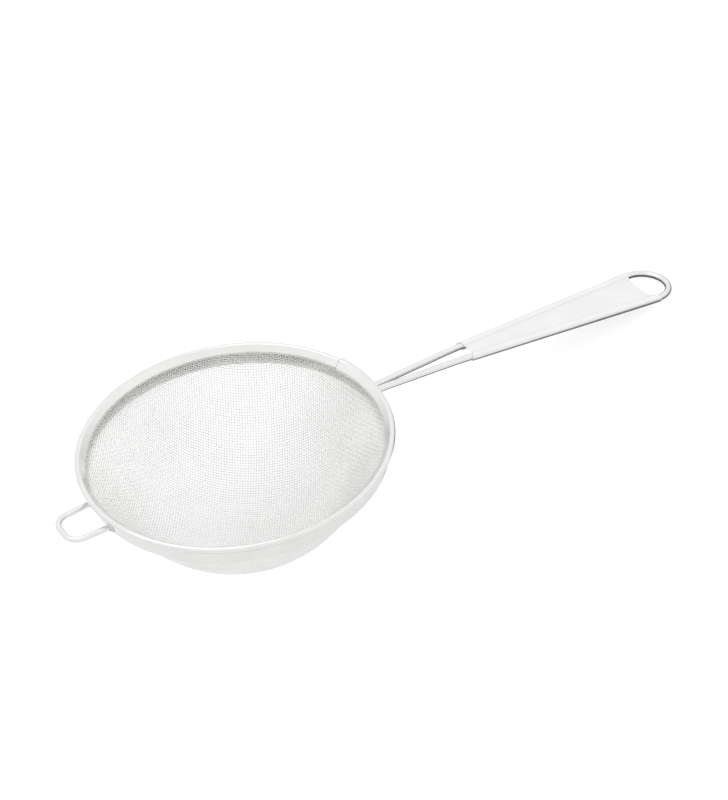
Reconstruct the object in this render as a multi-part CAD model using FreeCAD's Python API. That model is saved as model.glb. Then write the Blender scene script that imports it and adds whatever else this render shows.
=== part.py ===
import FreeCAD, Part
import math
import os

# A stainless tea strainer: a woven mesh bowl gripped by a rolled rim band, a hairpin wire
# handle with a sheet grip rolled round its two legs, and a small wire loop opposite the
# handle that rests on the far side of a cup.
#
# Millimetres and degrees. Everything is drawn in the rim's own frame, which has its origin
# on the bowl's axis inside the rolled rim, +Z out of the mouth and +X along the handle.
# `stand` then tips the finished pieces so that the bowl and the handle's end both touch the
# table, with the origin under the middle of the whole strainer.

V = FreeCAD.Vector
X, Y, Z = V(1, 0, 0), V(0, 1, 0), V(0, 0, 1)

# Rim
RIM_RADIUS = 45.0  # outside of the rolled hem
RIM_SHEET = 0.4
HEM_ROUND = 0.9  # outside radius of the hem's two round edges
HEM_DEPTH = 1.7  # from one round edge's centre to the other's
HEM_FLARE = 45.0  # the hem leans outwards by this much, from level
HEM_Z = -0.35  # height of the hem's middle
SKIRT_RADIUS = 43.85  # outside of the wall below the hem, carried up to the rim's origin
SKIRT_LEAN = 8.0  # the skirt narrows downwards
SKIRT_BOTTOM = -5.5
FLARE_BEND_RADIUS = 0.9  # between the skirt and the hem
CORE_WIRE_RADIUS = 0.47
LAP_START = -5.0  # the strip's ends overlap round this much of the hem, over the handle
LAP_END = 15.7
LAP_THICKNESS = 0.6
LAP_LIFT = 0.6  # from the hem's lower edge to where the lap begins, outside
LAP_UNDER = 30.0  # how far the lap goes under the hem's lower edge, inside

# Mesh bowl
MESH_THICKNESS = 0.5  # two crossing wires
MESH_TOP = -1.0  # where the mesh's edge ends, inside the hem
MESH_LEAVES = -4.4  # where the mesh turns in, away from the skirt
BOWL_RADIUS = 40.0  # outside of the round bottom
BOWL_CENTRE_Z = 4.3
MESH_BEND_RADIUS = 10.0

# Handle
HANDLE_WIRE_RADIUS = 1.0
HANDLE_Z = -3.7  # height of the wire where it is welded to the skirt
LEG_HALF_GAP = 1.2  # wire centre to the middle plane, beside the rim
LEGS_START = 48.5  # where the legs start to spread and to slope down
LEG_SLOPE = 3.2
LEG_BEND_RADIUS = 20.0
SPREAD_ANGLE = 3.66  # each leg's turn away from the middle plane
GRIP_BEND = 73.5  # where the slope steepens, measured along the handle
GRIP_SLOPE = 5.7
GRIP_BEND_RADIUS = 100.0
HANDLE_END = 152.9  # centre line's far end, measured along the handle

# Grip plate
PLATE_SHEET = 0.3
PLATE_LIFT = 0.45  # web's middle above the wires' centres
PLATE_START = 77.6
PLATE_END = 145.4
START_EDGE_DEPTH = 1.6  # how far the concave edges are hollowed
END_EDGE_DEPTH = 2.7
ROLL_WRAP = 290.0  # how far the sheet goes round each wire

# Rest loop
LOOP_WIRE_RADIUS = 0.875
LOOP_Z = -3.7
LOOP_ROOT_HALF_WIDTH = 6.15
LOOP_END_HALF_WIDTH = 5.55
LOOP_END = 54.4  # centre line's far end, from the bowl's axis
LOOP_CORNER_RADIUS = 4.1

# Joints between pieces
CLEARANCE = 0.02  # between pieces that are pressed or welded together
WELD_SIZE = 0.6  # how far each weld spreads over the skirt and along the wire
WIRE_ROOT = 40.0  # wires are drawn in from here, then cut off at the skirt

FLARE = V(math.cos(math.radians(HEM_FLARE)), 0, math.sin(math.radians(HEM_FLARE)))
HEM_TOP = V(RIM_RADIUS - HEM_ROUND, 0, HEM_Z + FLARE.z * HEM_DEPTH / 2)
HEM_FOOT = HEM_TOP - FLARE * HEM_DEPTH
MESH_DEPTH = RIM_SHEET + CLEARANCE + MESH_THICKNESS / 2  # from the skirt's outside


def cosd(angle):
    return math.cos(math.radians(angle))


def sind(angle):
    return math.sin(math.radians(angle))


def arc(centre, radius, start, end, first=X, second=Z):
    """An arc whose angles run from the first direction towards the second."""

    def at(angle):
        return centre + first * (radius * cosd(angle)) + second * (radius * sind(angle))

    return Part.Arc(at(start), at((start + end) / 2), at(end)).toShape()


def line(start, end):
    return Part.LineSegment(start, end).toShape()


def rounded(points, radii):
    """Edges along the points, with each inner corner rounded to its radius."""
    edges = []
    here = points[0]
    for before, corner, after, radius in zip(points, points[1:], points[2:], radii):
        back = (before - corner).normalize()
        ahead = (after - corner).normalize()
        half_angle = back.getAngle(ahead) / 2
        cut = radius / math.tan(half_angle)
        start, end = corner + back * cut, corner + ahead * cut
        inward = (back + ahead).normalize()
        middle = corner + inward * (radius / math.sin(half_angle) - radius)
        edges.append(line(here, start))
        edges.append(Part.Arc(start, middle, end).toShape())
        here = end
    edges.append(line(here, points[-1]))
    return edges


def sheet_section(edges, thickness):
    """The closed section of a sheet whose middle follows the edges."""
    middle = Part.Wire(edges)
    one, other = (middle.makeOffset2D(side * thickness / 2, 0, False, True) for side in (1, -1))
    caps = []
    for vertex in one.OrderedVertexes[0], one.OrderedVertexes[-1]:
        facing = min(other.Vertexes, key=lambda far: far.Point.distanceToPoint(vertex.Point))
        caps.append(line(vertex.Point, facing.Point))
    return Part.Face(Part.Wire(Part.__sortEdges__(one.Edges + other.Edges + caps)))


def turned(face, angle=360.0):
    """The solid swept by a section turned about the bowl's axis."""
    return face.revolve(V(0, 0, 0), Z, angle)


def drawn_wire(edges, radius):
    """A round wire along a smooth path."""
    path = Part.Wire(edges)
    first = edges[0]
    start = first.valueAt(first.FirstParameter)
    direction = first.tangentAt(first.FirstParameter)
    section = Part.Wire(Part.Circle(start, direction, radius).toShape())
    return path.makePipeShell([section], True, True)


def by_skirt(depth, z):
    """A point at a height, inside the skirt's outer face by a depth, or outside it by less."""
    radius = SKIRT_RADIUS + z * math.tan(math.radians(SKIRT_LEAN))
    return V(radius - depth / cosd(SKIRT_LEAN), 0, z)


def hem(reach, start, end):
    """Edges round the hem at a distance from its middle line: from a point outside it, over the
    top, down the inside, and round the lower edge to an angle."""
    outside = HEM_FLARE - 90
    over = arc(HEM_TOP, reach, outside, outside + 180)
    under = arc(HEM_FOOT, reach, outside + 180, end)
    top, foot = over.valueAt(over.LastParameter), under.valueAt(under.FirstParameter)
    return [line(start, over.valueAt(over.FirstParameter)), over, line(top, foot), under]


def hem_outside(reach):
    """Beside the hem's lower edge, outside it by a distance from the hem's middle line."""
    return HEM_FOOT + V(FLARE.z, 0, -FLARE.x) * reach


def rim_band():
    """One strip: a skirt that flares out into a hem rolled over the core wire, with lapped ends."""
    middle = RIM_SHEET / 2
    reach = HEM_ROUND - middle
    low, high = by_skirt(middle, SKIRT_BOTTOM), by_skirt(middle, 0)
    wall = high - low
    gap = high - hem_outside(reach)
    along = (gap.x * wall.z - gap.z * wall.x) / (FLARE.x * wall.z - FLARE.z * wall.x)
    corner = hem_outside(reach) + FLARE * along
    flared = rounded([low, corner, HEM_TOP + V(FLARE.z, 0, -FLARE.x) * reach], [FLARE_BEND_RADIUS])
    hollow = HEM_ROUND - RIM_SHEET
    mesh_face = by_skirt(MESH_DEPTH + MESH_THICKNESS / 2 + CLEARANCE, HEM_FOOT.z - hollow).x
    end = 180 + math.degrees(math.acos((HEM_FOOT.x - mesh_face) / hollow))
    strip = flared[:-1] + hem(reach, flared[-1].Vertexes[0].Point, end)
    reach = HEM_ROUND + LAP_THICKNESS / 2
    lap = hem(reach, hem_outside(reach) + FLARE * LAP_LIFT, 180 + LAP_UNDER)
    lap = turned(sheet_section(lap, LAP_THICKNESS), LAP_END - LAP_START)
    lap.rotate(V(0, 0, 0), Z, LAP_START)
    return turned(sheet_section(strip, RIM_SHEET)).fuse(lap)


def rim_core_wire():
    """The stiffening ring inside the hem."""
    return Part.makeTorus(HEM_TOP.x, CORE_WIRE_RADIUS, V(0, 0, HEM_TOP.z))


def mesh_bowl():
    """The woven bowl as a thin closed shell: along the skirt, then conical, then round."""
    radius = BOWL_RADIUS - MESH_THICKNESS / 2
    centre = V(0, 0, BOWL_CENTRE_Z)
    mouth = by_skirt(MESH_DEPTH, MESH_LEAVES)
    drop = centre.z - mouth.z
    reach = math.hypot(mouth.x, drop)
    touch = math.degrees(math.atan2(drop, mouth.x) + math.acos(radius / reach))
    cone_end = centre + V(radius * cosd(touch), 0, -radius * sind(touch))
    wall = rounded([by_skirt(MESH_DEPTH, MESH_TOP), mouth, cone_end], [MESH_BEND_RADIUS])
    wall.append(arc(centre, radius, -touch, -90))
    return turned(sheet_section(wall, MESH_THICKNESS))


def inside_skirt(clearance):
    """Everything within the skirt's outer face, and a clearance beyond it."""
    low, high = by_skirt(-clearance, 2 * SKIRT_BOTTOM), by_skirt(-clearance, 0)
    return Part.makeCone(low.x, high.x, high.z - low.z, V(0, 0, low.z), Z)


def mirrored(edges):
    """The edges reflected in the middle plane, in reverse order."""
    return [edge.mirror(V(0, 0, 0), Y) for edge in reversed(edges)]


def half_gap(along):
    """From the middle plane to a leg's centre, on the legs' straight stretch."""
    return LEG_HALF_GAP + math.tan(math.radians(SPREAD_ANGLE)) * (along - LEGS_START)


def grip_lay():
    """Carries the grip from where it is drawn, level and in the rim's plane, to its place."""
    run = GRIP_BEND - LEGS_START
    bend = V(LEGS_START + run * cosd(LEG_SLOPE), 0, HANDLE_Z - run * sind(LEG_SLOPE))
    slope = FreeCAD.Placement(bend, FreeCAD.Rotation(Y, GRIP_SLOPE))
    return slope * FreeCAD.Placement(V(-GRIP_BEND, 0, 0), FreeCAD.Rotation())


def on_grip(x, y):
    return grip_lay().multVec(V(x, y, 0))


def handle_wire():
    """One hairpin of wire: leg, round end and leg, cut off at the skirt."""
    radius = half_gap(HANDLE_END) * cosd(SPREAD_ANGLE) / (1 + sind(SPREAD_ANGLE))
    leave = HANDLE_END - radius - radius * sind(SPREAD_ANGLE), radius * cosd(SPREAD_ANGLE)
    corners = [
        V(WIRE_ROOT, LEG_HALF_GAP, HANDLE_Z),
        V(LEGS_START, LEG_HALF_GAP, HANDLE_Z),
        on_grip(GRIP_BEND, half_gap(GRIP_BEND)),
        on_grip(*leave),
    ]
    half = rounded(corners, [LEG_BEND_RADIUS, GRIP_BEND_RADIUS])
    tip = on_grip(HANDLE_END, 0)
    end = Part.Arc(corners[-1], tip, on_grip(leave[0], -leave[1])).toShape()
    return drawn_wire(half + [end] + mirrored(half), HANDLE_WIRE_RADIUS).cut(inside_skirt(CLEARANCE))


def rolled_edge(roll_radius, join_angle):
    """The sheet rolled round the +Y leg, from the web over the top and back underneath."""
    section = sheet_section(
        [arc(V(0, 0, 0), roll_radius, 180 - join_angle, 180 - join_angle - ROLL_WRAP, Y, Z)],
        PLATE_SHEET,
    )
    section.rotate(V(0, 0, 0), Z, SPREAD_ANGLE)
    section.translate(V(LEGS_START, LEG_HALF_GAP, 0))
    length = (PLATE_END - LEGS_START) / cosd(SPREAD_ANGLE)
    return section.extrude(V(cosd(SPREAD_ANGLE), sind(SPREAD_ANGLE), 0) * length)


def prism(edges, bottom, top):
    """A flat outline made solid between two heights."""
    face = Part.Face(Part.Wire(edges))
    face.translate(V(0, 0, bottom))
    return face.extrude(V(0, 0, top - bottom))


def grip_plate():
    """A tapered sheet between the legs, rolled round both, with hollowed ends."""
    outer = HANDLE_WIRE_RADIUS + CLEARANCE + PLATE_SHEET
    roll_radius = outer - PLATE_SHEET / 2
    join_angle = math.degrees(math.asin(PLATE_LIFT / roll_radius))
    inset = roll_radius * cosd(join_angle)
    near, far = half_gap(PLATE_START), half_gap(PLATE_END)
    web = Part.makePolygon(
        [
            V(PLATE_START, near - inset, 0),
            V(PLATE_END, far - inset, 0),
            V(PLATE_END, inset - far, 0),
            V(PLATE_START, inset - near, 0),
            V(PLATE_START, near - inset, 0),
        ]
    )
    half_sheet = PLATE_SHEET / 2
    sheet = prism(web.Edges, PLATE_LIFT - half_sheet, PLATE_LIFT + half_sheet)
    roll = rolled_edge(roll_radius, join_angle)
    near, far = near + outer, far + outer
    starts = [V(PLATE_START, near, 0), V(PLATE_START + START_EDGE_DEPTH, 0, 0), V(PLATE_START, -near, 0)]
    ends = [V(PLATE_END, -far, 0), V(PLATE_END - END_EDGE_DEPTH, 0, 0), V(PLATE_END, far, 0)]
    outline = [
        Part.Arc(*starts).toShape(),
        line(starts[-1], ends[0]),
        Part.Arc(*ends).toShape(),
        line(ends[-1], starts[0]),
    ]
    rolled = sheet.fuse([roll, roll.mirror(V(0, 0, 0), Y)])
    plate = rolled.common(prism(outline, -2 * outer, 2 * outer)).removeSplitter()
    plate.Placement = grip_lay() * plate.Placement
    return plate


def rest_loop():
    """One bent wire opposite the handle, drawn on +X and then turned to -X."""
    half = [V(WIRE_ROOT, LOOP_ROOT_HALF_WIDTH, LOOP_Z), V(LOOP_END, LOOP_END_HALF_WIDTH, LOOP_Z)]
    other = [V(point.x, -point.y, point.z) for point in reversed(half)]
    path = rounded(half + other, [LOOP_CORNER_RADIUS, LOOP_CORNER_RADIUS])
    loop = drawn_wire(path, LOOP_WIRE_RADIUS).cut(inside_skirt(CLEARANCE))
    loop.rotate(V(0, 0, 0), Z, 180)
    return loop


def welds(wire_radius, half_width, z, facing):
    """Two fillets of weld metal, where a wire's ends meet the skirt."""
    around = wire_radius + CLEARANCE
    skirt = by_skirt(0, z).x
    start = math.sqrt(skirt**2 - half_width**2) - WELD_SIZE
    centre = V(start, half_width, z)
    cone = Part.makeCone(around + 2 * WELD_SIZE, around, 2 * WELD_SIZE, centre, X)
    ring = cone.cut([Part.makeCylinder(around, 3 * WELD_SIZE, centre, X), inside_skirt(CLEARANCE / 2)])
    middle = Part.makeBox(WIRE_ROOT, WIRE_ROOT, WIRE_ROOT, V(WIRE_ROOT, 0, -WIRE_ROOT))
    ring = ring.common(middle)
    group = Part.makeCompound([ring, ring.mirror(V(0, 0, 0), Y)])
    group.rotate(V(0, 0, 0), Z, facing)
    return group


def stand(shape):
    """Tips a piece about Y and moves it, so that the strainer stands on the table."""
    tip = on_grip(HANDLE_END, 0)
    bowl = V(0, 0, BOWL_CENTRE_Z)
    apart = tip - bowl
    touching = math.acos((BOWL_RADIUS - HANDLE_WIRE_RADIUS) / apart.Length)
    tilt = math.degrees(math.atan2(apart.x, -apart.z) - touching)
    turn = FreeCAD.Rotation(Y, tilt)
    front = turn.multVec(tip).x + HANDLE_WIRE_RADIUS
    back = turn.multVec(V(-LOOP_END, 0, LOOP_Z)).x - LOOP_WIRE_RADIUS
    table = turn.multVec(bowl).z - BOWL_RADIUS
    shape.rotate(V(0, 0, 0), Y, tilt)
    shape.translate(V(-(front + back) / 2, 0, -table))
    return shape


NODES = {
    "mesh_bowl": mesh_bowl(),
    "rim_band": rim_band(),
    "rim_core_wire": rim_core_wire(),
    "handle_wire": handle_wire(),
    "grip_plate": grip_plate(),
    "rest_loop": rest_loop(),
    "handle_welds": welds(HANDLE_WIRE_RADIUS, LEG_HALF_GAP, HANDLE_Z, 0),
    "rest_loop_welds": welds(LOOP_WIRE_RADIUS, LOOP_ROOT_HALF_WIDTH, LOOP_Z, 180),
}

os.makedirs("parts", exist_ok=True)
for name, shape in NODES.items():
    piece = stand(shape)
    piece.exportStep(f"parts/{name}.step")
    box = piece.optimalBoundingBox(False)
    print(
        f"{name}: {len(piece.Solids)} solids, valid {piece.isValid()}, {piece.Volume:.1f} mm3,",
        f"x {box.XMin:.2f} {box.XMax:.2f} y {box.YMin:.2f} {box.YMax:.2f}",
        f"z {box.ZMin:.2f} {box.ZMax:.2f}",
    )
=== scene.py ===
import math

import bpy
import numpy as np
from mathutils import Matrix, Vector


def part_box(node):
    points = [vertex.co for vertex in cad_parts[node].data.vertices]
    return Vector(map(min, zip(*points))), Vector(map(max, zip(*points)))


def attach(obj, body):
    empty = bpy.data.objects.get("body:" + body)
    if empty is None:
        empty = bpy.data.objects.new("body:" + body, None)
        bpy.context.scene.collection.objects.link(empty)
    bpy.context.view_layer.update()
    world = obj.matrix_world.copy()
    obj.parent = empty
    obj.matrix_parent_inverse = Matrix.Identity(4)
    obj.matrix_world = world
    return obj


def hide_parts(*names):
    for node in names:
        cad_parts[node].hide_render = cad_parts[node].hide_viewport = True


# Metres. The rim's own frame has its origin on the bowl's axis inside the rolled rim, +Z out
# of the mouth and +X along the handle. `rim` carries it to the CAD's frame.

MM = 0.001

# Rim
RIM_RADIUS = 45.0 * MM
RIM_SHEET = 0.4 * MM
HEM_ROUND = 0.9 * MM  # outside radius of the rolled hem's two round edges
HEM_DEPTH = 1.7 * MM  # from one round edge's centre to the other's
HEM_FLARE = math.radians(45.0)
HEM_Z = -0.35 * MM
HEM_END = math.radians(246.0)  # where the sheet's edge meets the mesh, round the lower edge
FLARE_BEND_RADIUS = 0.9 * MM
LAP_START = math.radians(-12.0)  # the strip's outer end rises from here, round the hem
LAP_END = math.radians(15.7)  # and stops here
LAP_RISE = 0.55 * MM
LAP_EDGE = math.radians(0.3)
LAP_TURNS = 60  # steps round the lap, and round the rest of the rim
RIM_TURNS = 400
STRAIGHT_STEPS = 7  # along each straight stretch of the strip's section
BEND_STEPS = 8
SHEET_EDGE_STEPS = 7
HEM_TOP_STEPS = 33
HEM_FOOT_STEPS = 17
LAP_SIDE_START = 0.35  # the lap begins this far up the hem's outer side
HEM_FOOT_LAPPED = 0.6  # and goes this far round the hem's lower edge
CORE_WIRE_RADIUS = 0.47 * MM
CORE_WIRE_RISE = HEM_Z + HEM_DEPTH / 2 * math.sin(HEM_FLARE)
SKIRT_RADIUS = 43.85 * MM  # outside, carried up to the rim's origin
SKIRT_LEAN = math.radians(8.0)
SKIRT_BOTTOM = -5.5 * MM

# Mesh
MESH_WIRE_RADIUS = 0.122 * MM
MESH_LIFT = 0.126 * MM  # from the weave's middle to a wire's centre, at a crossing
MESH_PITCH = 0.8 * MM
MESH_DEPTH = 0.67 * MM  # the weave's middle, inside the skirt's outer face
MESH_TOP = -1.0 * MM
MESH_LEAVES = -4.4 * MM  # where the mesh turns in, away from the skirt
MESH_TURN = math.radians(-35.0)  # of the warp, from the handle's axis
MESH_RADIUS = 39.75 * MM  # the weave's middle, in the round bottom
BOWL_CENTRE_Z = 4.3 * MM
MESH_BEND_RADIUS = 10.0 * MM
MESH_WIRE_SIDES = 6
NET_STEPS = 12  # of Newton's method
NET_TURN_STEP = 0.3  # the largest change of angle in one step
NET_MISS = 0.02  # of a square pitch, between a fitted crossing and its neighbours

# Steel
STEEL = 0.80, 0.80, 0.79
MESH_STEEL = 0.93, 0.93, 0.92
PLATE_STEEL = 0.86, 0.86, 0.855
WELD_STEEL = 0.62, 0.61, 0.6
CLOUD_DARK = 0.93  # the colour's cloudiness, down and up from its middle
CLOUD_BRIGHT = 1.05
CLOUD_SCALE = 140
GLOSS_SCALE = 420
GLOSS_RANGE = 0.3, 0.7
LINE_SCALE = 2600
LINE_DEPTH = 0.02 * MM
EVEN = 1, 1, 1
DRAWN = 0.15, 1, 1  # lines stretched along the wire, and along the plate
BRUSHED = 0.08, 1, 1

# Camera
CAMERA_AIM = Vector((3.4, 24.0, 0.0)) * MM
CAMERA_DISTANCE = 613.9 * MM
CAMERA_AZIMUTH = math.radians(-22.25)
CAMERA_ELEVATION = math.radians(42.37)
CAMERA_ROLL = math.radians(-15.75)
CAMERA_LENS = 90.0  # millimetres, on a sensor 36 mm along its long side

# Studio
FLOOR_HALF = 3.0
FLOOR_WHITE = 0.92
FLOOR_SEEN = 0.3  # what the camera sees of the floor is mostly its glow, as on a lit table
FLOOR_GLOW = 0.8
# A shade painted into the floor's colour under the handle and seen only by glossy rays: a painted shadow,
# not cast by any lamp.
FLOOR_PAINTED_SHADE = -0.055, 0.001, 0.0  # moves the painted shade's middle, under the handle, to the origin
FLOOR_PAINTED_SHADE_SHAPE = 0.28, 1.0, 1.0  # the painted shade is long in X
FLOOR_PAINTED_SHADE_EDGE = 0.013, 0.028
FLOOR_MIRRORED = 0.16, 0.92  # the floor's colour as the metal mirrors it, in the painted shade and outside it
SKY = (0.0, 0.78), (0.45, 1.08), (1.0, 0.96)  # height on the sky, and brightness there
SKY_SCALE = 2.0  # the curve holds values up to 1, so it is drawn at a half
LAMP_PLACE = -0.1, 0.2, 1.2
LAMP_SIZE = 0.9
LAMP_WATTS = 1.2
CAMERA_NEAREST = 0.01

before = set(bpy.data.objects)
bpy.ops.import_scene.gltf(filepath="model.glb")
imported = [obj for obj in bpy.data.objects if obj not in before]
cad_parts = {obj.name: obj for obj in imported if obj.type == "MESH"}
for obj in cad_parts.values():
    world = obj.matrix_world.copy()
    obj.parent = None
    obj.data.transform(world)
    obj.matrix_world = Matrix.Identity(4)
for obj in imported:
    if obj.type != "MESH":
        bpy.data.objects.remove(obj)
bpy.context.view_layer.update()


def rim_placement():
    """The rim's frame in the CAD's frame, from the box of the ring inside the hem."""
    low, high = (Vector(corner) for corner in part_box("rim_core_wire"))
    ring = (high.y - low.y) / 2 - CORE_WIRE_RADIUS
    tilt = math.asin(((high.z - low.z) / 2 - CORE_WIRE_RADIUS) / ring)
    turn = Matrix.Rotation(tilt, 4, "Y")
    return Matrix.Translation((low + high) / 2) @ turn @ Matrix.Translation((0, 0, -CORE_WIRE_RISE))


rim = rim_placement()


# Geometry


def new_piece(name, vertices, faces, material, slot, replaced=()):
    """A smooth-shaded piece from vertices in the rim's frame."""
    rim_turn = np.array(rim.to_3x3())
    placed = np.asarray(vertices) @ rim_turn.T + np.array(rim.translation)
    mesh = bpy.data.meshes.new(name)
    mesh.from_pydata(placed.tolist(), [], faces)
    mesh.polygons.foreach_set("use_smooth", [True] * len(mesh.polygons))
    mesh.materials.append(material)
    piece = bpy.data.objects.new(name, mesh)
    bpy.context.scene.collection.objects.link(piece)
    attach(piece, "root")
    if replaced:
        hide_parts(*replaced)
    return piece


def bowl_profile(step=0.01 * MM):
    """Arc length, radius, height and slope along the weave's middle, out from the pole."""
    mouth = SKIRT_RADIUS + MESH_LEAVES * math.tan(SKIRT_LEAN) - MESH_DEPTH / math.cos(SKIRT_LEAN)
    drop = BOWL_CENTRE_Z - MESH_LEAVES
    reach = math.hypot(mouth, drop)
    cone = math.pi / 2 - math.atan2(drop, mouth) - math.acos(MESH_RADIUS / reach)
    wall = math.pi / 2 - SKIRT_LEAN
    cut = MESH_BEND_RADIUS * math.tan((wall - cone) / 2)
    round_end = MESH_RADIUS * cone
    cone_end = round_end + math.sqrt(reach**2 - MESH_RADIUS**2) - cut
    bend_end = cone_end + MESH_BEND_RADIUS * (wall - cone)
    edge = bend_end + (MESH_TOP - MESH_LEAVES) / math.cos(SKIRT_LEAN) - cut
    along = np.arange(0, edge + 3 * MESH_PITCH, step)
    slope = np.interp(along, [0, round_end, cone_end, bend_end], [0, cone, cone, wall])
    radius = np.concatenate([[0], np.cumsum(np.cos(slope[:-1]) * step)])
    height = np.concatenate([[0], np.cumsum(np.sin(slope[:-1]) * step)])
    return along, radius, height + BOWL_CENTRE_Z - MESH_RADIUS, slope, edge


along, radius, height, slope, edge = bowl_profile()


def on_bowl(s, turn):
    """Points of the weave's middle, at an arc length from the pole and an angle round it."""
    r = np.interp(s, along, radius)
    return np.stack([r * np.cos(turn), r * np.sin(turn), np.interp(s, along, height)], -1)


def bowl_normal(s, turn):
    """The bowl's inward normal."""
    lean = np.interp(s, along, slope)
    flat = -np.sin(lean)
    return np.stack([flat * np.cos(turn), flat * np.sin(turn), np.cos(lean)], -1)


def net_quadrant(pitch):
    """Crossings of a cloth of fixed pitch laid over the bowl, with both threads kept a pitch long.

    Each crossing lies a pitch from its two neighbours towards the pole, found by Newton's
    method on the arc length and the angle, one diagonal row of crossings at a time."""
    count = int(along[-1] / pitch) + 1
    s = np.full((count, count), np.inf)
    turn = np.zeros((count, count))
    s[:, 0] = s[0, :] = np.arange(count) * pitch
    turn[0, :] = math.pi / 2
    for total in range(2, 2 * count - 1):
        i = np.arange(max(1, total - count + 1), min(count, total))
        j = total - i
        ready = np.isfinite(s[i - 1, j]) & np.isfinite(s[i, j - 1])
        i, j = i[ready], j[ready]
        if not len(i):
            continue
        near = on_bowl(s[i - 1, j], turn[i - 1, j]), on_bowl(s[i, j - 1], turn[i, j - 1])
        guess = near[0] + near[1] - on_bowl(s[i - 1, j - 1], turn[i - 1, j - 1])
        angle = np.arctan2(guess[:, 1], guess[:, 0])
        out = np.maximum(s[i - 1, j], s[i, j - 1]) + pitch / 2
        for _ in range(NET_STEPS):
            here = on_bowl(out, angle)
            lean = np.interp(out, along, slope)
            r = np.maximum(np.interp(out, along, radius), pitch / 4)
            by_s = np.stack([np.cos(lean) * np.cos(angle), np.cos(lean) * np.sin(angle), np.sin(lean)], -1)
            by_turn = np.stack([-r * np.sin(angle), r * np.cos(angle), 0 * r], -1)
            gaps = [here - point for point in near]
            miss = [(gap**2).sum(-1) - pitch**2 for gap in gaps]
            a, b = 2 * (gaps[0] * by_s).sum(-1), 2 * (gaps[0] * by_turn).sum(-1)
            c, d = 2 * (gaps[1] * by_s).sum(-1), 2 * (gaps[1] * by_turn).sum(-1)
            det = a * d - b * c
            det = np.where(np.abs(det) < 1e-16, 1e-16, det)
            out = out - np.clip((d * miss[0] - b * miss[1]) / det, -pitch, pitch)
            angle = angle - np.clip((a * miss[1] - c * miss[0]) / det, -NET_TURN_STEP, NET_TURN_STEP)
        fits = (out < along[-1]) & (np.abs(miss[0]) + np.abs(miss[1]) < NET_MISS * pitch**2)
        s[i, j] = np.where(fits, out, np.inf)
        turn[i, j] = angle
    return s, turn


def tube(centres, ups, radius, sides):
    """Vertices and faces of a round wire along points, each with a direction across the wire."""
    ahead = np.gradient(centres, axis=0)
    ahead /= np.linalg.norm(ahead, axis=1, keepdims=True)
    aside = np.cross(ahead, ups)
    aside /= np.linalg.norm(aside, axis=1, keepdims=True)
    ups = np.cross(aside, ahead)
    turn = np.arange(sides) * (2 * math.pi / sides)
    ring = np.cos(turn)[:, None, None] * ups + np.sin(turn)[:, None, None] * aside
    vertices = (centres + radius * ring).transpose(1, 0, 2).reshape(-1, 3)
    faces = []
    for row in range(len(centres) - 1):
        here, there = row * sides, (row + 1) * sides
        for side in range(sides):
            after = (side + 1) % sides
            faces.append((here + side, here + after, there + after, there + side))
    faces.append(tuple(range(sides))[::-1])
    faces.append(tuple(range(len(vertices) - sides, len(vertices))))
    return vertices, faces


def gathered(parts):
    """Several lots of vertices and faces as one."""
    vertices, faces, count = [], [], 0
    for part_vertices, part_faces in parts:
        vertices.append(part_vertices)
        faces += [tuple(corner + count for corner in face) for face in part_faces]
        count += len(part_vertices)
    return np.concatenate(vertices), faces


def half_wire(s, turn, lift):
    """A thread's crossings from its middle outwards, cut off at the mesh's edge."""
    count = int(np.argmax(s > edge))
    part = (edge - s[count - 1]) / (s[count] - s[count - 1])
    ends = [values[count - 1] + part * (values[count] - values[count - 1]) for values in (s, turn, lift)]
    return [np.append(values[:count], end) for values, end in zip((s, turn, lift), ends)]


def threads(s, turn, lift_sign, across):
    """One family of wires: every row of the net, woven over and under the other family.

    `across` adds a quarter turn, because the net is the same along both of its families."""
    parts = []
    count = int(np.argmax(s[:, 0] > edge))
    for row in range(-count + 1, count):
        lift = np.where((np.arange(len(s)) + row) % 2 == 0, MESH_LIFT, -MESH_LIFT) * lift_sign
        half_s, half_turn, half_lift = half_wire(s[:, abs(row)], turn[:, abs(row)], lift)
        half_turn = half_turn if row >= 0 else -half_turn
        whole_s = np.concatenate([half_s[:0:-1], half_s])
        whole_turn = np.concatenate([math.pi - half_turn[:0:-1], half_turn]) + across + MESH_TURN
        whole_lift = np.concatenate([half_lift[:0:-1], half_lift])[:, None]
        normals = bowl_normal(whole_s, whole_turn)
        centres = on_bowl(whole_s, whole_turn) + whole_lift * normals
        parts.append(tube(centres, normals, MESH_WIRE_RADIUS, MESH_WIRE_SIDES))
    return gathered(parts)


def polar(turn):
    """Unit directions in a section, from outwards towards up."""
    return np.stack([np.cos(turn), np.sin(turn)], -1)


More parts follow.
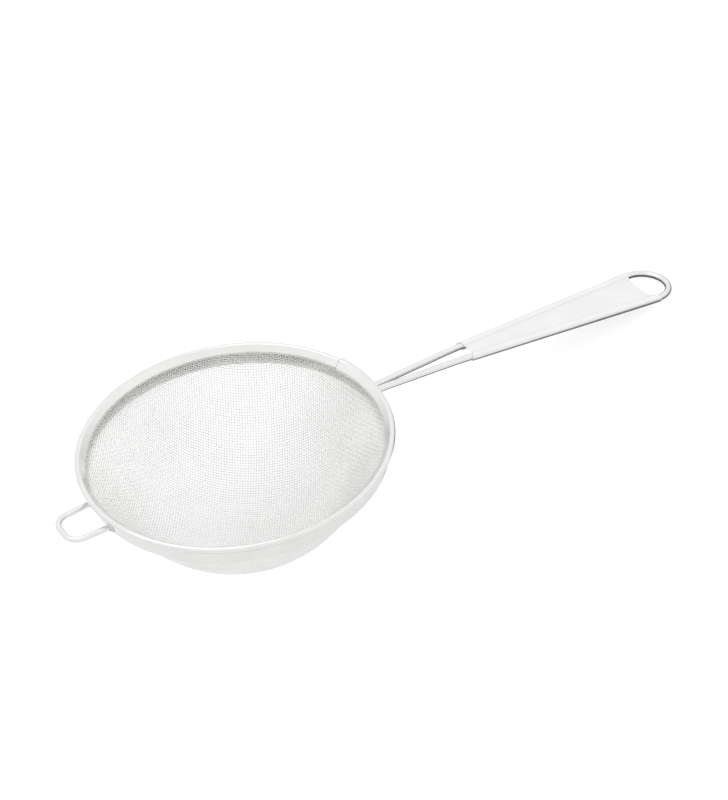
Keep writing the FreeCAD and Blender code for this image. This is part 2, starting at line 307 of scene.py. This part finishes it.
def band_strip():
    """The strip's middle line in section, its outward direction, and its share of the lap.

    It goes up the skirt, out along the flare, over the hem's top edge, back down inside and
    round the lower edge to the mesh."""
    middle = RIM_SHEET / 2
    reach = HEM_ROUND - middle
    flare, outside = polar(HEM_FLARE), HEM_FLARE - math.pi / 2
    top = np.array([RIM_RADIUS - HEM_ROUND, HEM_Z + flare[1] * HEM_DEPTH / 2])
    foot = top - flare * HEM_DEPTH
    wall = polar(math.pi / 2 - SKIRT_LEAN)
    side = foot + reach * polar(outside)
    high = np.array([SKIRT_RADIUS - middle / wall[1], 0])
    gap = high - side
    along_side = (gap[0] * wall[1] - gap[1] * wall[0]) / (flare[0] * wall[1] - flare[1] * wall[0])
    corner = side + flare * along_side
    cut = FLARE_BEND_RADIUS * math.tan((math.pi / 2 - SKIRT_LEAN - HEM_FLARE) / 2)
    bend_start, bend_end = corner - wall * cut, corner + flare * cut
    low = high + wall * (SKIRT_BOTTOM + middle) / wall[1]
    side_end = top + reach * polar(outside)
    inner_end = foot + reach * polar(outside + math.pi)
    steps = np.linspace(0, 1, STRAIGHT_STEPS + 1)[:-1, None]
    inner_steps = steps[1:]
    bend_turn = np.linspace(-SKIRT_LEAN, outside, BEND_STEPS)
    over_turn = np.linspace(outside, outside + math.pi, HEM_TOP_STEPS)
    under_turn = np.linspace(outside + math.pi, HEM_END, HEM_FOOT_STEPS)
    under_lapped = np.linspace(0, 1, HEM_FOOT_STEPS) < HEM_FOOT_LAPPED
    over = top + reach * polar(over_turn)
    side_lapped = inner_steps[:, 0] > LAP_SIDE_START
    stretches = [
        (low + (bend_start - low) * steps, np.full(len(steps), -SKIRT_LEAN), 0),
        (bend_start + FLARE_BEND_RADIUS * (polar(-SKIRT_LEAN) - polar(bend_turn)), bend_turn, 0),
        (bend_end + (side_end - bend_end) * inner_steps, np.full(len(inner_steps), outside), side_lapped),
        (over, over_turn, 1),
        (over[-1] + (inner_end - over[-1]) * inner_steps, np.full(len(inner_steps), outside + math.pi), 1),
        (foot + reach * polar(under_turn), under_turn, under_lapped),
    ]
    line = np.concatenate([points for points, _, _ in stretches])
    outward = polar(np.concatenate([turn for _, turn, _ in stretches]))
    lapped = np.concatenate([np.ones(len(points)) * share for points, _, share in stretches])
    return line, outward, lapped


def rim_band():
    """The rolled band: one closed section with rounded edges, carried round the rim. The strip's
    outer end rises off the hem over the handle and stops there in a step."""
    line, outward, lapped = band_strip()
    half = RIM_SHEET / 2
    ahead = np.gradient(line, axis=0)
    ahead /= np.linalg.norm(ahead, axis=1, keepdims=True)
    round_edge = np.linspace(0, math.pi, SHEET_EDGE_STEPS)[1:-1, None]
    end = line[-1] + half * (np.cos(round_edge) * outward[-1] + np.sin(round_edge) * ahead[-1])
    foot = line[0] - half * (np.cos(round_edge) * outward[0] + np.sin(round_edge) * ahead[0])
    section = np.concatenate([line + half * outward, end, (line - half * outward)[::-1], foot])
    lift = np.zeros_like(section)
    lift[: len(line)] = lapped[:, None] * outward
    lapping = np.linspace(LAP_START, LAP_END, LAP_TURNS + 1)
    rest = np.linspace(LAP_END + LAP_EDGE, LAP_START + 2 * math.pi, RIM_TURNS + 1)[:-1]
    turns = np.concatenate([lapping, rest])
    rise = np.interp(turns, [LAP_START, LAP_END, LAP_END + LAP_EDGE], [0, LAP_RISE, 0])
    rings = section + rise[:, None, None] * lift
    r, z = rings[:, :, 0], rings[:, :, 1]
    vertices = np.stack([r * np.cos(turns)[:, None], r * np.sin(turns)[:, None], z], -1)
    return vertices.reshape(-1, 3), loop_faces(len(turns), len(section))


def loop_faces(rings, sides):
    """Faces between closed rings that themselves close into a loop."""
    faces = []
    for ring in range(rings):
        here, there = ring * sides, (ring + 1) % rings * sides
        for side in range(sides):
            after = (side + 1) % sides
            faces.append((here + side, there + side, there + after, here + after))
    return faces


# Materials


def steel(name, colour, roughness, spread, stretch, bump):
    """Bare stainless steel: cloudy colour, uneven gloss, and fine drawing or brushing lines."""
    material = bpy.data.materials.new(name)
    material.use_nodes = True
    nodes, links = material.node_tree.nodes, material.node_tree.links
    shader = nodes["Principled BSDF"]
    shader.inputs["Metallic"].default_value = 1.0
    place = nodes.new("ShaderNodeTexCoord").outputs["Object"]

    def noise(scale, detail, stretched=EVEN):
        mapping = nodes.new("ShaderNodeMapping")
        mapping.inputs["Scale"].default_value = stretched
        links.new(place, mapping.inputs["Vector"])
        texture = nodes.new("ShaderNodeTexNoise")
        texture.inputs["Scale"].default_value = scale
        texture.inputs["Detail"].default_value = detail
        links.new(mapping.outputs["Vector"], texture.inputs["Vector"])
        return texture.outputs["Fac"]

    cloud = nodes.new("ShaderNodeMix")
    cloud.data_type = "RGBA"
    cloud.inputs["A"].default_value = (*[channel * CLOUD_DARK for channel in colour], 1)
    cloud.inputs["B"].default_value = (*[min(1, channel * CLOUD_BRIGHT) for channel in colour], 1)
    links.new(noise(CLOUD_SCALE, 4), cloud.inputs["Factor"])
    links.new(cloud.outputs["Result"], shader.inputs["Base Color"])
    gloss = nodes.new("ShaderNodeMapRange")
    gloss.inputs["From Min"].default_value = GLOSS_RANGE[0]
    gloss.inputs["From Max"].default_value = GLOSS_RANGE[1]
    gloss.inputs["To Min"].default_value = roughness - spread
    gloss.inputs["To Max"].default_value = roughness + spread
    links.new(noise(GLOSS_SCALE, 5, stretch), gloss.inputs["Value"])
    links.new(gloss.outputs["Result"], shader.inputs["Roughness"])
    lines = nodes.new("ShaderNodeBump")
    lines.inputs["Strength"].default_value = bump
    lines.inputs["Distance"].default_value = LINE_DEPTH
    links.new(noise(LINE_SCALE, 3, stretch), lines.inputs["Height"])
    links.new(lines.outputs["Normal"], shader.inputs["Normal"])
    return material


mesh_steel = steel("mesh wire", MESH_STEEL, 0.5, 0.05, EVEN, 0.03)
band_steel = steel("rim band", STEEL, 0.2, 0.05, EVEN, 0.06)
wire_steel = steel("drawn wire", STEEL, 0.17, 0.04, DRAWN, 0.05)
plate_steel = steel("grip plate", PLATE_STEEL, 0.34, 0.05, BRUSHED, 0.1)
weld_steel = steel("weld metal", WELD_STEEL, 0.42, 0.1, EVEN, 0.4)

net = net_quadrant(MESH_PITCH)
new_piece("mesh_warp_wires", *threads(*net, 1, 0.0), mesh_steel, "mesh", ["mesh_bowl"])
new_piece("mesh_weft_wires", *threads(*net, -1, math.pi / 2), mesh_steel, "mesh", ["mesh_bowl"])

new_piece("rim_band_rolled", *rim_band(), band_steel, "band", ["rim_band"])

for node, material in {
    "rim_core_wire": wire_steel,
    "handle_wire": wire_steel,
    "grip_plate": plate_steel,
    "rest_loop": wire_steel,
    "handle_welds": weld_steel,
    "rest_loop_welds": weld_steel,
}.items():
    cad_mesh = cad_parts[node].data
    cad_mesh.materials.clear()
    cad_mesh.materials.append(material)


# Stage


def floor():
    """A wide white floor, even to the camera. The metal mirrors it with a shade painted into its colour
    under the handle, which the camera doesn't see.
    """
    mesh = bpy.data.meshes.new("floor")
    corners = [(x * FLOOR_HALF, y * FLOOR_HALF, 0) for x, y in ((-1, -1), (1, -1), (1, 1), (-1, 1))]
    mesh.from_pydata(corners, [], [(0, 1, 2, 3)])
    white = bpy.data.materials.new("floor")
    white.use_nodes = True
    nodes, links = white.node_tree.nodes, white.node_tree.links
    shader = nodes["Principled BSDF"]
    shader.inputs["Roughness"].default_value = 1.0
    shader.inputs["Specular IOR Level"].default_value = 0.0
    centred = nodes.new("ShaderNodeVectorMath")
    links.new(nodes.new("ShaderNodeTexCoord").outputs["Object"], centred.inputs[0])
    centred.inputs[1].default_value = FLOOR_PAINTED_SHADE
    shaped = nodes.new("ShaderNodeVectorMath")
    shaped.operation = "MULTIPLY"
    links.new(centred.outputs["Vector"], shaped.inputs[0])
    shaped.inputs[1].default_value = FLOOR_PAINTED_SHADE_SHAPE
    apart = nodes.new("ShaderNodeVectorMath")
    apart.operation = "LENGTH"
    links.new(shaped.outputs["Vector"], apart.inputs[0])
    # Painted shade: glossy rays see the floor's colour darker inside the ellipse under the handle.
    painted_shade_ramp = nodes.new("ShaderNodeMapRange")
    painted_shade_ramp.inputs["From Min"].default_value = FLOOR_PAINTED_SHADE_EDGE[0]
    painted_shade_ramp.inputs["From Max"].default_value = FLOOR_PAINTED_SHADE_EDGE[1]
    painted_shade_ramp.inputs["To Min"].default_value = FLOOR_MIRRORED[0]
    painted_shade_ramp.inputs["To Max"].default_value = FLOOR_MIRRORED[1]
    links.new(apart.outputs["Value"], painted_shade_ramp.inputs["Value"])
    path = nodes.new("ShaderNodeLightPath")
    pick = nodes.new("ShaderNodeMix")
    pick.data_type = "FLOAT"
    links.new(path.outputs["Is Glossy Ray"], pick.inputs["Factor"])
    pick.inputs["A"].default_value = FLOOR_WHITE
    links.new(painted_shade_ramp.outputs["Result"], pick.inputs["B"])
    seen = nodes.new("ShaderNodeMix")
    seen.data_type = "FLOAT"
    links.new(path.outputs["Is Camera Ray"], seen.inputs["Factor"])
    links.new(pick.outputs["Result"], seen.inputs["A"])
    seen.inputs["B"].default_value = FLOOR_SEEN
    links.new(seen.outputs["Result"], shader.inputs["Base Color"])
    glow = nodes.new("ShaderNodeMath")
    glow.operation = "MULTIPLY"
    links.new(path.outputs["Is Camera Ray"], glow.inputs[0])
    glow.inputs[1].default_value = FLOOR_GLOW
    shader.inputs["Emission Color"].default_value = (1, 1, 1, 1)
    links.new(glow.outputs["Value"], shader.inputs["Emission Strength"])
    mesh.materials.append(white)
    piece = bpy.data.objects.new("floor", mesh)
    bpy.context.scene.collection.objects.link(piece)


def sky():
    """An even white studio, a little dimmer towards the horizon and overhead."""
    world = bpy.data.worlds.new("studio")
    world.use_nodes = True
    bpy.context.scene.world = world
    nodes, links = world.node_tree.nodes, world.node_tree.links
    split = nodes.new("ShaderNodeSeparateXYZ")
    links.new(nodes.new("ShaderNodeTexCoord").outputs["Generated"], split.inputs["Vector"])
    ramp = nodes.new("ShaderNodeFloatCurve")
    curve = ramp.mapping.curves[0]
    while len(curve.points) < len(SKY):
        curve.points.new(0.5, 0.5)
    for point, (up, bright) in zip(curve.points, SKY):
        point.location = up, bright / SKY_SCALE
    ramp.mapping.extend = "HORIZONTAL"
    ramp.mapping.update()
    links.new(split.outputs["Z"], ramp.inputs["Value"])
    scaled = nodes.new("ShaderNodeMath")
    scaled.operation = "MULTIPLY"
    links.new(ramp.outputs["Value"], scaled.inputs[0])
    scaled.inputs[1].default_value = SKY_SCALE
    pick = nodes.new("ShaderNodeMix")
    pick.data_type = "FLOAT"
    links.new(nodes.new("ShaderNodeLightPath").outputs["Is Camera Ray"], pick.inputs["Factor"])
    links.new(scaled.outputs["Value"], pick.inputs["A"])
    pick.inputs["B"].default_value = 1.0
    links.new(pick.outputs["Result"], nodes["Background"].inputs["Strength"])
    nodes["Background"].inputs["Color"].default_value = (1, 1, 1, 1)


def overhead_light():
    """One large soft light, aimed at the origin."""
    light = bpy.data.lights.new("overhead", "AREA")
    light.shape = "SQUARE"
    light.size = LAMP_SIZE
    light.energy = LAMP_WATTS
    lamp = bpy.data.objects.new("overhead", light)
    lamp.location = LAMP_PLACE
    lamp.rotation_euler = (-Vector(LAMP_PLACE)).to_track_quat("-Z", "Y").to_euler()
    bpy.context.scene.collection.objects.link(lamp)


def camera():
    """The photograph's viewing angle, a little rolled."""
    flat = math.cos(CAMERA_ELEVATION)
    level = Vector((math.sin(CAMERA_AZIMUTH), -math.cos(CAMERA_AZIMUTH), 0))
    back = level * flat + Vector((0, 0, math.sin(CAMERA_ELEVATION)))
    data = bpy.data.cameras.new("camera")
    data.lens = CAMERA_LENS
    data.clip_start = CAMERA_NEAREST
    eye = bpy.data.objects.new("camera", data)
    turn = (-back).to_track_quat("-Z", "Y").to_matrix().to_4x4() @ Matrix.Rotation(CAMERA_ROLL, 4, "Z")
    eye.matrix_world = Matrix.Translation(CAMERA_AIM + back * CAMERA_DISTANCE) @ turn
    bpy.context.scene.collection.objects.link(eye)
    bpy.context.scene.camera = eye


floor()
sky()
overhead_light()
camera()
bpy.context.scene.view_settings.view_transform = "Standard"
